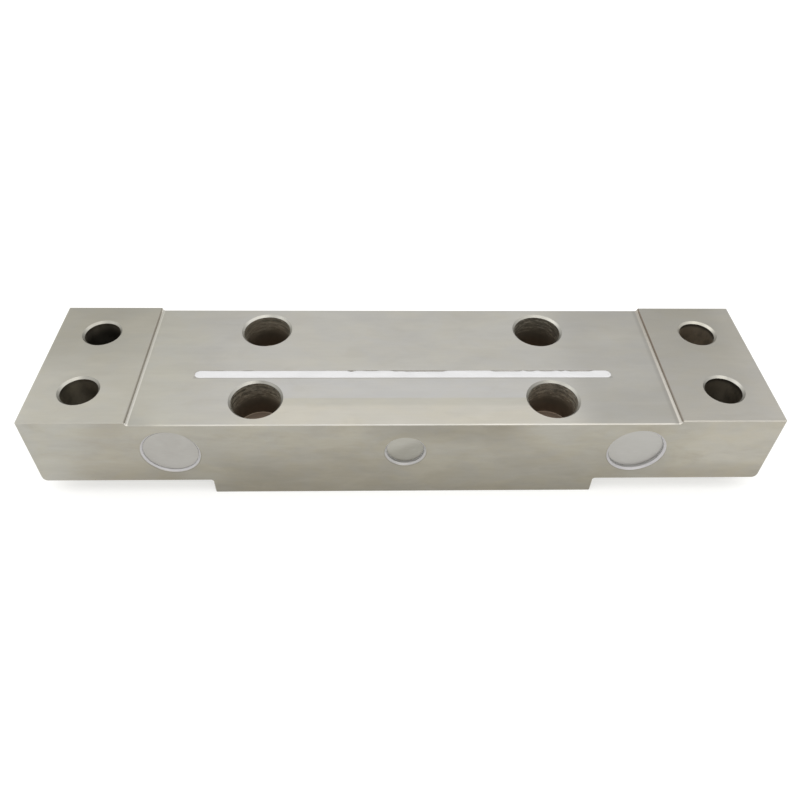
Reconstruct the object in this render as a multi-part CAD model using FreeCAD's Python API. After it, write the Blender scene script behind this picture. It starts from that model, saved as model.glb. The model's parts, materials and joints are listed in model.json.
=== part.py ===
import FreeCAD, Part
import math
import os

# Double-ended shear-beam load cell for a weighbridge, in millimetres.
# The origin is the middle of the foot's underside. X runs along the beam, -Y is the front face with the
# three covers, +Y is the rear face with the cable gland, and +Z points up to the load pads.
# Pieces that repeat are drawn at the right-hand end, on the front face, and mirrored from there.

# Beam
beam_length = 300.0
beam_width = 72.0
arm_height = 35.0            # underside of an arm to the top of its load pad
pad_length = 41.7
pad_rise = 1.5               # load pad above the deck between the pads
foot_length = 160.0
foot_height = 8.0
edge_break = 0.4
outline_radius = 0.5         # upper ends of the bar and lower ends of the foot
step_run = 0.4               # slope between deck and load pad
step_radius = 1.1            # deck into the slope
pad_edge_radius = 0.5        # slope into the load pad
foot_radius = 1.0            # inside corner between foot and arm
end_radius = 2.4             # lower end edge of each arm

# Bolt holes
load_hole_diameter = 15.0
load_hole_end_inset = 19.3
load_hole_side_inset = 18.0
load_hole_chamfer = 0.9
foot_hole_diameter = 11.0
foot_hole_end_inset = 20.0
foot_hole_shift = 0.9        # towards the middle, from half way between the slot and the face
foot_hole_chamfer = 0.5
head_bore_diameter = 20.2
head_bore_depth = 17.5
head_bore_chamfer = 0.9

# Pockets in the two long faces, and their covers
web_thickness = 9.6          # shear web left between the front and rear pockets
gauge_pocket_diameter = 20.0
board_pocket_diameter = 13.0
board_setback = 21.0         # front face to the ledge that carries the board
board_ledge = 1.5
cover_ledge = 1.2
cover_seat_depth = 3.4
cover_seat_chamfer = 0.8
cover_thickness = 0.8
cover_edge = 0.2
cover_gap = 0.2              # filled by the sealant
left_bed_thickness = 1.7
right_bed_thickness = 0.9
board_bed_thickness = 1.0
rear_bed_thickness = 1.3

# Wiring slot in the deck
slot_width = 4.4
slot_break_in = 2.2          # how far the slot cuts into the crown of the board's bore
slot_end_clearance = 0.45
sealant_sink = 0.2
sealant_clearance = 0.2

# Strain gauges, terminals and wires
gauge_length = 8.0
gauge_film = 0.15
foil_thickness = 0.05
foil_line_width = 0.3
foil_line_pitch = 0.7
foil_line_length = 2.6
foil_lines = 4
tab_length = 1.0
tab_width = 0.8
tab_inset = 0.3
terminal_gap = 0.6           # gauge to terminal strip
terminal_width = 2.0
terminal_height = 7.4
terminal_thickness = 0.7
solder_pad_margin = 0.2
solder_pad_width = 0.9
solder_pad_thickness = 0.1
solder_pad_pitch = 1.3
wire_pad_rise = 1.0          # middle of the wire pads above the pocket axis
jumper_pad_drop = 2.7        # jumper pads below the pocket axis
wires_per_side = 4
wire_diameter = 0.35
wire_spacing = 0.05
wire_clearance = 0.2         # innermost wire to the corner that it bends round
wire_bend = 0.5
wire_contact = 0.02
lead_diameter = 0.2
lead_height = 0.7            # top of a lead's loop above the solder pad
lead_bend = 0.25
jumper_pitch = 0.8
web_hole_diameter = 2.5
web_hole_drop = 6.5          # web hole below the pocket axis

# Compensation board
board_thickness = 1.0
board_clearance = 0.2
board_hole_diameter = 3.4
board_pad_rise = 1.2         # ends of the bridge wires above the board's middle
chip_length = 2.0
chip_width = 1.25
chip_thickness = 0.5
chip_angles = (15, 52, 90, 128, 165)
pin_diameter = 0.7
pin_length = 2.5
pin_angles = (210, 240, 300, 330)

# Cable gland
cable_bore_diameter = 6.5
gland_bore_diameter = 9.0
gland_bore_depth = 9.0
gland_stub_length = 7.5
thread_clearance = 0.05
washer_diameter = 13.0
washer_thickness = 1.0
washer_clearance = 0.2
gland_hex = 12.0             # across flats
hex_turn_angle = 30.0        # slope of the turned ends that take the corners off a hexagon
flange_thickness = 3.0
neck_diameter = 9.6
neck_length = 4.5
bush_diameter = 7.6
bush_bore_diameter = 5.2
bush_length = 5.5
bush_seat_depth = 5.0
bush_clearance = 0.05
nut_gap = 0.2
nut_hex_length = 4.6
nut_dome_length = 3.2
nut_dome_base = 10.8
nut_dome_end = 8.6
nut_mouth_flare = 0.5

# Places that follow from the sizes above
half_length = beam_length / 2
half_width = beam_width / 2
foot_half = foot_length / 2
pad_inner = half_length - pad_length
pad_z = foot_height + arm_height
deck_z = pad_z - pad_rise
axis_z = foot_height + arm_height / 2
gauge_x = (foot_half + pad_inner) / 2
web_face = web_thickness / 2
load_hole_x = half_length - load_hole_end_inset
load_hole_y = half_width - load_hole_side_inset
slot_y = -web_face - slot_width / 2
foot_hole_x = foot_half - foot_hole_end_inset
foot_hole_y = (half_width + web_face + slot_width) / 2 - foot_hole_shift
gauge_seat_diameter = gauge_pocket_diameter + 2 * cover_ledge
board_seat_diameter = board_pocket_diameter + 2 * cover_ledge
board_bore_radius = board_pocket_diameter / 2 - board_ledge
board_y = -half_width + board_setback
board_radius = board_pocket_diameter / 2 - board_clearance
board_ring = (board_hole_diameter / 2 + board_radius) / 2
slot_floor_rise = board_bore_radius - slot_break_in
slot_floor = axis_z + slot_floor_rise
gauge_corner_x = gauge_x - math.sqrt((gauge_pocket_diameter / 2) ** 2 - slot_floor_rise ** 2)
board_corner_x = math.sqrt(board_bore_radius ** 2 - slot_floor_rise ** 2)
wire_radii = [
    wire_clearance + wire_diameter / 2 + turn * (wire_diameter + wire_spacing)
    for turn in range(wires_per_side)
]
nest_top = wire_radii[-1] + wire_diameter / 2
slot_half = gauge_corner_x + nest_top + slot_end_clearance
pad_face = web_face + terminal_thickness + solder_pad_thickness
wire_y = -(pad_face + wire_contact + wire_diameter / 2)
terminal_x = gauge_x - gauge_length / 2 - terminal_gap - terminal_width / 2
wire_pad_z = [
    axis_z + wire_pad_rise + (turn - (wires_per_side - 1) / 2) * solder_pad_pitch
    for turn in range(wires_per_side)
]
flange_y = half_width + washer_thickness
neck_y = flange_y + flange_thickness
bush_y = neck_y + neck_length - bush_seat_depth

V = FreeCAD.Vector
ORIGIN = V(0, 0, 0)
ALONG_X = V(1, 0, 0)
ALONG_Y = V(0, 1, 0)
OVERSHOOT = 1.0              # cutters reach this far past the faces that they open
TOUCH = 0.001                # two coordinates closer than this are the same


def block(x0, x1, y0, y1, z0, z1):
    return Part.makeBox(x1 - x0, y1 - y0, z1 - z0, V(x0, y0, z0))


def rod(diameter, start, end):
    return Part.makeCylinder(diameter / 2, (end - start).Length, start, end - start)


def chamfered_hole(diameter, chamfer, start, end):
    """Cutter from the face at start to the face at end, with a countersink at start."""
    inward = (end - start).normalize()
    mouth = start - inward * OVERSHOOT
    countersink = Part.makeCone(
        diameter / 2 + chamfer + OVERSHOOT, diameter / 2, chamfer + OVERSHOOT, mouth, inward
    )
    return rod(diameter, mouth, end).fuse(countersink)


def four_corners(x, y):
    return [(side * x, face * y) for side in (-1, 1) for face in (-1, 1)]


def mirrored(shape, side, face):
    """Move a right-hand, front-face piece to the named end and face."""
    if side == "left":
        shape = shape.mirror(ORIGIN, ALONG_X)
    if face == "rear":
        shape = shape.mirror(ORIGIN, ALONG_Y)
    return shape


def rounded_path(points, radii):
    """Straight runs through the points, each inner corner rounded by a tangent arc."""
    edges = []
    start = points[0]
    for before, corner, after, radius in zip(points, points[1:], points[2:], radii):
        back = (before - corner).normalize()
        onward = (after - corner).normalize()
        half_angle = back.getAngle(onward) / 2
        arc_start = corner + back * (radius / math.tan(half_angle))
        arc_end = corner + onward * (radius / math.tan(half_angle))
        inward = (back + onward).normalize()
        arc_middle = corner + inward * (radius / math.sin(half_angle) - radius)
        edges.append(Part.LineSegment(start, arc_start).toShape())
        edges.append(Part.Arc(arc_start, arc_middle, arc_end).toShape())
        start = arc_end
    edges.append(Part.LineSegment(start, points[-1]).toShape())
    return Part.Wire(edges)


def bent_wire(points, radii, diameter):
    section = Part.Wire(Part.makeCircle(diameter / 2, points[0], points[1] - points[0]))
    return rounded_path(points, radii).makePipeShell([section], True, False)


def slot_prism(z0, z1):
    """Round-ended bar that fills the wiring slot between two heights."""
    radius = slot_width / 2
    straight = slot_half - radius
    corners = [V(side * straight, slot_y + edge * radius, z0) for edge in (-1, 1) for side in (-1, 1)]
    front_left, front_right, back_left, back_right = corners
    outline = Part.Wire([
        Part.LineSegment(front_left, front_right).toShape(),
        Part.Arc(front_right, V(slot_half, slot_y, z0), back_right).toShape(),
        Part.LineSegment(back_right, back_left).toShape(),
        Part.Arc(back_left, V(-slot_half, slot_y, z0), front_left).toShape(),
    ])
    return Part.Face(outline).extrude(V(0, 0, z1 - z0))


def cable_axis(y):
    return V(0, y, axis_z)


def hexagon(across_flats, y0, length):
    """Hexagonal bar about the cable axis, with its corners turned down at both ends."""
    flat = across_flats / 2
    corner = across_flats / math.sqrt(3)
    points = [
        V(corner * math.cos(math.radians(60 * i)), y0, axis_z + corner * math.sin(math.radians(60 * i)))
        for i in range(7)
    ]
    bar = Part.Face(Part.makePolygon(points)).extrude(V(0, length, 0))
    slope = (corner - flat) * math.tan(math.radians(hex_turn_angle))
    y1 = y0 + length
    turned = Part.makeCone(flat, corner, slope, cable_axis(y0), ALONG_Y).fuse([
        Part.makeCone(corner, flat, slope, cable_axis(y1 - slope), ALONG_Y),
        rod(2 * corner, cable_axis(y0 + slope), cable_axis(y1 - slope)),
    ])
    return bar.common(turned)


def beam_blank():
    """The bar before its holes: one outline run from front to rear, with both rims broken."""
    corners = [
        (foot_half, 0, outline_radius),
        (foot_half, foot_height, foot_radius),
        (half_length, foot_height, end_radius),
        (half_length, pad_z, outline_radius),
        (pad_inner + step_run / 2, pad_z, pad_edge_radius),
        (pad_inner - step_run / 2, deck_z, step_radius),
    ]
    corners += [(-x, z, radius) for x, z, radius in reversed(corners)]
    middle = V(0, -half_width, 0)
    points = [middle] + [V(x, -half_width, z) for x, z, radius in corners] + [middle]
    outline = rounded_path(points, [radius for x, z, radius in corners])
    bar = Part.Face(outline).extrude(V(0, beam_width, 0))
    rims = [edge for edge in bar.Edges if edge.BoundBox.YLength < TOUCH]
    return bar.makeChamfer(edge_break, rims)


def bolt_hole_cutters():
    cutters = []
    for x, y in four_corners(load_hole_x, load_hole_y):
        top = V(x, y, pad_z)
        bottom = V(x, y, foot_height)
        cutters.append(chamfered_hole(load_hole_diameter, load_hole_chamfer, top, bottom))
        cutters.append(chamfered_hole(load_hole_diameter, load_hole_chamfer, bottom, top))
    for x, y in four_corners(foot_hole_x, foot_hole_y):
        top = V(x, y, deck_z)
        seat = V(x, y, deck_z - head_bore_depth)
        bottom = V(x, y, 0)
        cutters.append(chamfered_hole(head_bore_diameter, head_bore_chamfer, top, seat))
        cutters.append(chamfered_hole(foot_hole_diameter, foot_hole_chamfer, bottom, top))
    return cutters


def pocket_cutter(x, pocket_diameter, floor_y):
    """Round pocket from the front face to floor_y, with the wider seat of its cover."""
    mouth = V(x, -half_width, axis_z)
    ledge = V(x, -half_width + cover_seat_depth, axis_z)
    seat = chamfered_hole(pocket_diameter + 2 * cover_ledge, cover_seat_chamfer, mouth, ledge)
    return seat.fuse(rod(pocket_diameter, mouth, V(x, floor_y, axis_z)))


def pocket_cutters():
    gauge_pocket = pocket_cutter(gauge_x, gauge_pocket_diameter, -web_face)
    web_hole_z = axis_z - web_hole_drop
    web_hole = rod(
        web_hole_diameter,
        V(terminal_x, -web_face - OVERSHOOT, web_hole_z),
        V(terminal_x, web_face + OVERSHOOT, web_hole_z),
    )
    cutters = [pocket_cutter(0, board_pocket_diameter, board_y)]
    cutters.append(rod(2 * board_bore_radius, V(0, board_y - OVERSHOOT, axis_z), V(0, -web_face, axis_z)))
    for side in ("left", "right"):
        cutters.append(mirrored(web_hole, side, "front"))
        for face in ("front", "rear"):
            cutters.append(mirrored(gauge_pocket, side, face))
    return cutters


def cable_way_cutters():
    rear = V(0, half_width + OVERSHOOT, axis_z)
    return [
        rod(cable_bore_diameter, V(0, -web_face - OVERSHOOT, axis_z), rear),
        rod(gland_bore_diameter, V(0, half_width - gland_bore_depth, axis_z), rear),
    ]


def beam():
    cutters = bolt_hole_cutters() + pocket_cutters() + cable_way_cutters()
    cutters.append(slot_prism(slot_floor, deck_z + OVERSHOOT))
    return beam_blank().cut(cutters).removeSplitter()


def cover(x, seat_diameter, bed_thickness):
    """Thin disc with a broken outer edge, on its bed of sealant."""
    radius = seat_diameter / 2 - cover_gap
    face_y = -half_width + cover_seat_depth - bed_thickness - cover_thickness
    rim = Part.makeCone(radius - cover_edge, radius, cover_edge, V(x, face_y, axis_z), ALONG_Y)
    plate = rod(
        2 * radius, V(x, face_y + cover_edge, axis_z), V(x, face_y + cover_thickness, axis_z)
    )
    return rim.fuse(plate).removeSplitter()


def cover_bed(x, seat_diameter, bed_thickness):
    """Ring of sealant under a cover, with a lip that fills the gap round the cover's edge."""
    ledge_y = -half_width + cover_seat_depth
    back_y = ledge_y - bed_thickness
    lip = V(x, back_y - cover_thickness + cover_edge, axis_z)
    back = V(x, back_y, axis_z)
    ledge = V(x, ledge_y, axis_z)
    return rod(seat_diameter, lip, ledge).cut([
        rod(seat_diameter - 2 * cover_gap, lip, back),
        rod(seat_diameter - 2 * cover_ledge, back, ledge),
    ])


def strain_gauge():
    """Film with two foil grids at 45 degrees to the beam and a row of solder tabs."""
    half = gauge_length / 2
    film_y = -web_face - gauge_film
    foil_y = film_y - foil_thickness
    film = block(gauge_x - half, gauge_x + half, film_y, -web_face, axis_z - half, axis_z + half)
    foil = []
    for lean in (-1, 1):
        grid = V(gauge_x + tab_length / 2, foil_y, axis_z + lean * gauge_length / 4)
        for line in range(foil_lines):
            shift = (line - (foil_lines - 1) / 2) * foil_line_pitch
            strip = block(
                shift - foil_line_width / 2, shift + foil_line_width / 2,
                0, foil_thickness,
                -foil_line_length / 2, foil_line_length / 2,
            )
            strip.rotate(ORIGIN, ALONG_Y, lean * 45)
            strip.translate(grid)
            foil.append(strip)
    tab_start = gauge_x - half + tab_inset
    for z in wire_pad_z:
        foil.append(block(
            tab_start, tab_start + tab_length, foil_y, film_y, z - tab_width / 2, z + tab_width / 2
        ))
    return film.fuse(foil).removeSplitter()


def solder_terminal():
    """Terminal strip beside a gauge: one pad for each bridge wire, and one for each jumper."""
    left = terminal_x - terminal_width / 2
    right = terminal_x + terminal_width / 2
    plate_y = -web_face - terminal_thickness
    plate = block(
        left, right, plate_y, -web_face, axis_z - terminal_height / 2, axis_z + terminal_height / 2
    )
    pads = [
        block(
            left + solder_pad_margin, right - solder_pad_margin, -pad_face, plate_y,
            z - solder_pad_width / 2, z + solder_pad_width / 2,
        )
        for z in wire_pad_z + [axis_z - jumper_pad_drop]
    ]
    return plate.fuse(pads).removeSplitter()


def gauge_leads():
    """Fine loops from the gauge's tabs to the solder pads."""
    tab_x = gauge_x - gauge_length / 2 + tab_inset + tab_length / 2
    pad_x = terminal_x + terminal_width / 2 - solder_pad_margin - lead_diameter
    tab_y = -web_face - gauge_film - foil_thickness
    loop_y = -pad_face - lead_height
    leads = [
        bent_wire(
            [V(tab_x, tab_y, z), V(tab_x, loop_y, z), V(pad_x, loop_y, z), V(pad_x, -pad_face, z)],
            [lead_bend, lead_bend], lead_diameter,
        )
        for z in wire_pad_z
    ]
    return Part.makeCompound(leads)


def bridge_wires():
    """Wires from one terminal strip, up into the slot, along it and down to the board's back."""
    wires = []
    for radius, pad_z_here in zip(wire_radii, wire_pad_z):
        rise_x = gauge_corner_x + radius
        drop_x = board_corner_x - radius
        run_z = slot_floor + radius
        end_z = axis_z + board_pad_rise
        points = [
            V(terminal_x, wire_y, pad_z_here),
            V(rise_x, wire_y, pad_z_here),
            V(rise_x, wire_y, run_z),
            V(drop_x, wire_y, run_z),
            V(drop_x, wire_y, end_z),
            V(drop_x, board_y, end_z),
        ]
        wires.append(bent_wire(points, [wire_bend, radius, radius, wire_bend], wire_diameter))
    return Part.makeCompound(wires)


def jumper_wires():
    """Two wires through the hole in the web, from the front terminal strip to the rear one."""
    start_z = axis_z - jumper_pad_drop
    hole_z = axis_z - web_hole_drop
    wires = []
    for side in (-1, 1):
        x = terminal_x + side * jumper_pitch / 2
        points = [V(x, wire_y, start_z), V(x, wire_y, hole_z), V(x, -wire_y, hole_z), V(x, -wire_y, start_z)]
        wires.append(bent_wire(points, [wire_bend, wire_bend], wire_diameter))
    return Part.makeCompound(wires)


def compensation_board():
    back = V(0, board_y, axis_z)
    front = V(0, board_y - board_thickness, axis_z)
    return rod(2 * board_radius, front, back).cut(rod(board_hole_diameter, front, back))


def board_point(angle, y):
    turn = math.radians(angle)
    return V(board_ring * math.cos(turn), y, axis_z + board_ring * math.sin(turn))


def trim_resistors():
    """Chip resistors in an arc round the upper half of the board."""
    chips = []
    for angle in chip_angles:
        chip = block(
            -chip_width / 2, chip_width / 2, -chip_thickness, 0, -chip_length / 2, chip_length / 2
        )
        chip.rotate(ORIGIN, ALONG_Y, -angle)
        chip.translate(board_point(angle, board_y - board_thickness))
        chips.append(chip)
    return Part.makeCompound(chips)


def cable_pins():
    """Solder pins for the cable's cores, round the lower half of the board."""
    face_y = board_y - board_thickness
    pins = [
        rod(pin_diameter, board_point(angle, face_y), board_point(angle, face_y - pin_length))
        for angle in pin_angles
    ]
    return Part.makeCompound(pins)


def wiring_slot_sealant():
    return slot_prism(slot_floor + nest_top + sealant_clearance, deck_z - sealant_sink)


def gland_washer():
    ring = rod(washer_diameter, cable_axis(half_width), cable_axis(flange_y))
    bore = gland_bore_diameter + 2 * washer_clearance
    return ring.cut(rod(bore, cable_axis(half_width), cable_axis(flange_y)))


def gland_body():
    """Threaded stub, hexagonal flange and a neck that holds the rubber bush."""
    stub = gland_bore_diameter - 2 * thread_clearance
    neck_end = cable_axis(neck_y + neck_length)
    body = hexagon(gland_hex, flange_y, flange_thickness).fuse([
        rod(stub, cable_axis(half_width - gland_stub_length), cable_axis(flange_y)),
        rod(neck_diameter, cable_axis(neck_y), neck_end),
    ])
    return body.cut([
        rod(cable_bore_diameter, cable_axis(half_width - gland_stub_length), neck_end),
        rod(bush_diameter + 2 * bush_clearance, cable_axis(bush_y), neck_end),
    ]).removeSplitter()


def gland_bush():
    start = cable_axis(bush_y)
    end = cable_axis(bush_y + bush_length)
    return rod(bush_diameter, start, end).cut(rod(bush_bore_diameter, start, end))


def gland_nut():
    """Hexagonal cap with a domed end that presses on the bush."""
    start_y = neck_y + nut_gap
    dome_y = start_y + nut_hex_length
    end_y = dome_y + nut_dome_length
    dome = Part.makeCone(nut_dome_base / 2, nut_dome_end / 2, nut_dome_length, cable_axis(dome_y), ALONG_Y)
    flare = Part.makeCone(
        cable_bore_diameter / 2, cable_bore_diameter / 2 + nut_mouth_flare, nut_mouth_flare,
        cable_axis(end_y - nut_mouth_flare), ALONG_Y,
    )
    neck_room = neck_diameter + 2 * thread_clearance
    nut = hexagon(gland_hex, start_y, nut_hex_length).fuse(dome)
    return nut.cut([
        rod(neck_room, cable_axis(start_y), cable_axis(bush_y + bush_length)),
        rod(cable_bore_diameter, cable_axis(start_y), cable_axis(end_y)),
        flare,
    ]).removeSplitter()


def all_parts():
    parts = {
        "beam": beam(),
        "wiring_slot_sealant": wiring_slot_sealant(),
        "front_centre_cover": cover(0, board_seat_diameter, board_bed_thickness),
        "front_centre_cover_bed": cover_bed(0, board_seat_diameter, board_bed_thickness),
        "compensation_board": compensation_board(),
        "trim_resistors": trim_resistors(),
        "cable_pins": cable_pins(),
        "gland_washer": gland_washer(),
        "gland_body": gland_body(),
        "gland_bush": gland_bush(),
        "gland_nut": gland_nut(),
    }
    bed_thickness = {
        "front_left": left_bed_thickness,
        "front_right": right_bed_thickness,
        "rear_left": rear_bed_thickness,
        "rear_right": rear_bed_thickness,
    }
    for side in ("left", "right"):
        parts[side + "_bridge_wires"] = mirrored(bridge_wires(), side, "front")
        parts[side + "_jumper_wires"] = mirrored(jumper_wires(), side, "front")
        for face in ("front", "rear"):
            place = face + "_" + side
            bed = bed_thickness[place]
            pieces = {
                "_gauge_cover": cover(gauge_x, gauge_seat_diameter, bed),
                "_gauge_cover_bed": cover_bed(gauge_x, gauge_seat_diameter, bed),
                "_strain_gauge": strain_gauge(),
                "_gauge_leads": gauge_leads(),
                "_solder_terminal": solder_terminal(),
            }
            for ending, shape in pieces.items():
                parts[place + ending] = mirrored(shape, side, face)
    return parts


os.makedirs("parts", exist_ok=True)
for node, shape in all_parts().items():
    shape.exportStep("parts/" + node + ".step")
    print(node, "solids", len(shape.Solids), "valid", shape.isValid(), "volume", round(shape.Volume, 3))
print("wire bend radii", wire_bend, [round(radius, 3) for radius in wire_radii])
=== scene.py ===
import json
import math

import bpy
from mathutils import Matrix, Vector


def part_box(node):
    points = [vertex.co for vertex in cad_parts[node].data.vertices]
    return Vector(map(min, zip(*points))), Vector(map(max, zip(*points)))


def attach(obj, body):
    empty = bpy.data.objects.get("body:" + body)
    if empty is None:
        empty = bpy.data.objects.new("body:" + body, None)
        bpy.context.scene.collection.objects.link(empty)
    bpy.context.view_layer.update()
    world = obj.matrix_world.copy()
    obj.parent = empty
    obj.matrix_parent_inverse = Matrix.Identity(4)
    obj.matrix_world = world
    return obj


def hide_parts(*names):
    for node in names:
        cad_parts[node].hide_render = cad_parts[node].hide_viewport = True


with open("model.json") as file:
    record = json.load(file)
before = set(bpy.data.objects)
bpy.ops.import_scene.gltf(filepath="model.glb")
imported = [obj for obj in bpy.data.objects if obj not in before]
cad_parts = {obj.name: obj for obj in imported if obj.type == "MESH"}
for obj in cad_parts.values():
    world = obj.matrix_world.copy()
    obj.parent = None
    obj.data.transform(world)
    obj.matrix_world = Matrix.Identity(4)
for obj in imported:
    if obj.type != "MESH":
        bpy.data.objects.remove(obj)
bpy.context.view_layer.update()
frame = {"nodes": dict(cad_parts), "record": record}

MM = 0.001

# Places on the beam that the finishes and the new pieces share, in millimetres.
DECK_Z = 41.5
PAD_Z = 43.0
STEP_X = 108.3
HALF_WIDTH = 36.0
AXIS_Z = 25.5
GAUGE_X = 94.15
GAUGE_SEAT_R = 11.2
BOARD_SEAT_R = 7.7
SEAT_CHAMFER = 0.8
SEAT_Y = 32.6
FOIL_Y = 4.965
FOOT_HOLE = (60.0, 21.7)
HEAD_BORE_R = 10.1
HEAD_CHAMFER = 0.9
HEAD_SEAT_Z = 24.0
LOAD_HOLE = (130.7, 18.0)
LOAD_HOLE_R = 7.5
LOAD_CHAMFER = 0.9
SLOT_Y = -7.0
SLOT_R = 2.2
SLOT_REACH = 87.0

# Share of the normal at which a face starts to count as flat, and from which it counts in full.
FLAT_FROM, FLAT_FULL = 0.80, 0.97
# Half width of the blend between the left and right, and the front and rear half.
HALF_BLEND = 1.0

# Sealant bead and cover discs, in millimetres: (width, rise) of the bead's edge and crown, and the
# stretches along the slot where its far edge stops short, as (from x, to x, how far).
BEAD_SINK = 0.14
BEAD_LIP = 0.4
BEAD_EDGE = (0.16, 0.09)
BEAD_CROWN = (0.75, 0.03)
BEAD_CUT_X = 84
BEAD_CUT_STEP = 2
BEAD_END_STEPS = 10
SHORT_STRETCHES = (
    (-23.2, -20.8, 0.45), (-16.2, -11.8, 0.10), (-4.2, 0.3, 0.22), (1.8, 8.2, 0.46),
    (9.8, 16.2, 0.38), (37.8, 48.2, 0.34), (51.8, 54.2, 0.28), (57.8, 62.2, 0.26),
    (65.8, 66.2, 0.28), (69.8, 78.2, 0.34), (-66.2, -63.8, 0.08), (-80.2, -75.8, 0.06),
)
DISC_POINTS = 128
DISC_EDGE = 0.09
DISC_EDGE_STEPS = 3
DISC_FACE_RIM = 0.04
DISC_CROWN = 0.01
MERGE_WITHIN = 0.004
SMOOTH_ANGLE = math.radians(32)

# Camera: place in millimetres, angles in degrees, focal length in pixels of the square picture.
CAMERA_PLACE = (-10.387, -230.9, 248.755)
CAMERA_PITCH = 44.8002
CAMERA_YAW = -2.2506
CAMERA_ROLL = -1.4675
CAMERA_FOCAL = 732.293
PICTURE_SIDE = 800
SENSOR = 36.0

# Sky: (height, brightness) from low to high, and the share of blue in it. Each of the two ranges turns
# a direction's x, from and to, into a gain: one falls from left to right, one rises towards both ends.
SKY_LEVELS = ((0.30, 0.46), (0.50, 0.52), (0.60, 0.79), (0.70, 1.075), (0.80, 1.16), (1.0, 1.18))
SKY_BLUE = 0.985
SKY_ACROSS = (-1.0, 1.0, 1.10, 0.86)
SKY_ENDS = (0.46, 0.66, 1.0, 1.9)

# Where the soft boxes point, in metres, the floor's side, in metres, and its drop, in millimetres.
LIGHT_AIM = (0, 0, 0)
FLOOR_SIDE = 14.0
FLOOR_DROP = 0.05


# Finishes

class Finish:
    """Node tree of one procedural finish. Patterns read Object coordinates, in millimetres."""

    def __init__(self, name, roughness=0.5, metallic=0.0, specular=0.5):
        self.material = bpy.data.materials.new(name)
        self.material.use_nodes = True
        self.tree = self.material.node_tree
        self.shader = self.tree.nodes["Principled BSDF"]
        self.shader.inputs["Roughness"].default_value = roughness
        self.shader.inputs["Metallic"].default_value = metallic
        self.shader.inputs["Specular IOR Level"].default_value = specular
        coordinates = self.tree.nodes.new("ShaderNodeTexCoord")
        self.place = self.scaled(coordinates.outputs["Object"], (1 / MM, 1 / MM, 1 / MM))
        self.x, self.y, self.z = self.split(self.place)
        _, self.ny, self.nz = self.split(coordinates.outputs["Normal"])

    def put(self, socket, value):
        if isinstance(value, bpy.types.NodeSocket):
            self.tree.links.new(value, socket)
        else:
            socket.default_value = value

    def scaled(self, vector, scale, shift=(0, 0, 0)):
        node = self.tree.nodes.new("ShaderNodeMapping")
        node.inputs["Location"].default_value = shift
        node.inputs["Scale"].default_value = scale
        self.put(node.inputs["Vector"], vector)
        return node.outputs["Vector"]

    def split(self, vector):
        node = self.tree.nodes.new("ShaderNodeSeparateXYZ")
        self.put(node.inputs[0], vector)
        return node.outputs[0], node.outputs[1], node.outputs[2]

    def math(self, operation, *values):
        node = self.tree.nodes.new("ShaderNodeMath")
        node.operation = operation
        for socket, value in zip(node.inputs, values):
            self.put(socket, value)
        return node.outputs[0]

    def chain(self, operation, values):
        result = values[0]
        for value in values[1:]:
            result = self.math(operation, result, value)
        return result

    def product(self, *values):
        return self.chain("MULTIPLY", values)

    def total(self, *values):
        return self.chain("ADD", values)

    def largest(self, *values):
        return self.chain("MAXIMUM", values)

    def inverse(self, share):
        return self.math("SUBTRACT", 1.0, share)

    def band(self, value, start, end, low=0.0, high=1.0):
        """Smooth step from low to high as value goes from start to end."""
        node = self.tree.nodes.new("ShaderNodeMapRange")
        node.interpolation_type = "SMOOTHSTEP"
        self.put(node.inputs["Value"], value)
        node.inputs["From Min"].default_value = min(start, end)
        node.inputs["From Max"].default_value = max(start, end)
        node.inputs["To Min"].default_value = low if start < end else high
        node.inputs["To Max"].default_value = high if start < end else low
        return node.outputs["Result"]

    def span(self, value, start, full_from, full_to, end):
        """Smooth step from 0 at start to 1 at full_from, and back from 1 at full_to to 0 at end."""
        return self.product(self.band(value, start, full_from), self.band(value, end, full_to))

    def noise(self, scale, detail=3.0, roughness=0.5, shift=(0, 0, 0), warp=0.0):
        """Noise from 0 to 1; scale is in features per millimetre along X, Y and Z."""
        node = self.tree.nodes.new("ShaderNodeTexNoise")
        node.inputs["Scale"].default_value = 1.0
        node.inputs["Detail"].default_value = detail
        node.inputs["Roughness"].default_value = roughness
        node.inputs["Distortion"].default_value = warp
        self.put(node.inputs["Vector"], self.scaled(self.place, scale, shift))
        return node.outputs["Fac"]

    def mix(self, share, first, second, blend="MIX"):
        node = self.tree.nodes.new("ShaderNodeMix")
        node.data_type = "RGBA"
        node.blend_type = blend
        self.put(node.inputs[0], share)
        self.put(node.inputs[6], first if isinstance(first, bpy.types.NodeSocket) else (*first, 1.0))
        self.put(node.inputs[7], second if isinstance(second, bpy.types.NodeSocket) else (*second, 1.0))
        return node.outputs[2]

    def tinted(self, share, tone, tint):
        return self.mix(share, tone, tint, "MULTIPLY")

    def distance(self, x, y, point):
        """Distance in the plane of x and y from point."""
        dx = self.math("SUBTRACT", x, point[0])
        dy = self.math("SUBTRACT", y, point[1])
        return self.math("SQRT", self.total(self.product(dx, dx), self.product(dy, dy)))

    def bump(self, height, strength, depth):
        node = self.tree.nodes.new("ShaderNodeBump")
        node.inputs["Strength"].default_value = strength
        node.inputs["Distance"].default_value = depth * MM
        self.put(node.inputs["Height"], height)
        self.put(self.shader.inputs["Normal"], node.outputs["Normal"])

    def colour(self, value):
        self.put(self.shader.inputs["Base Color"], value)

    def roughness(self, value):
        self.put(self.shader.inputs["Roughness"], value)


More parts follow.
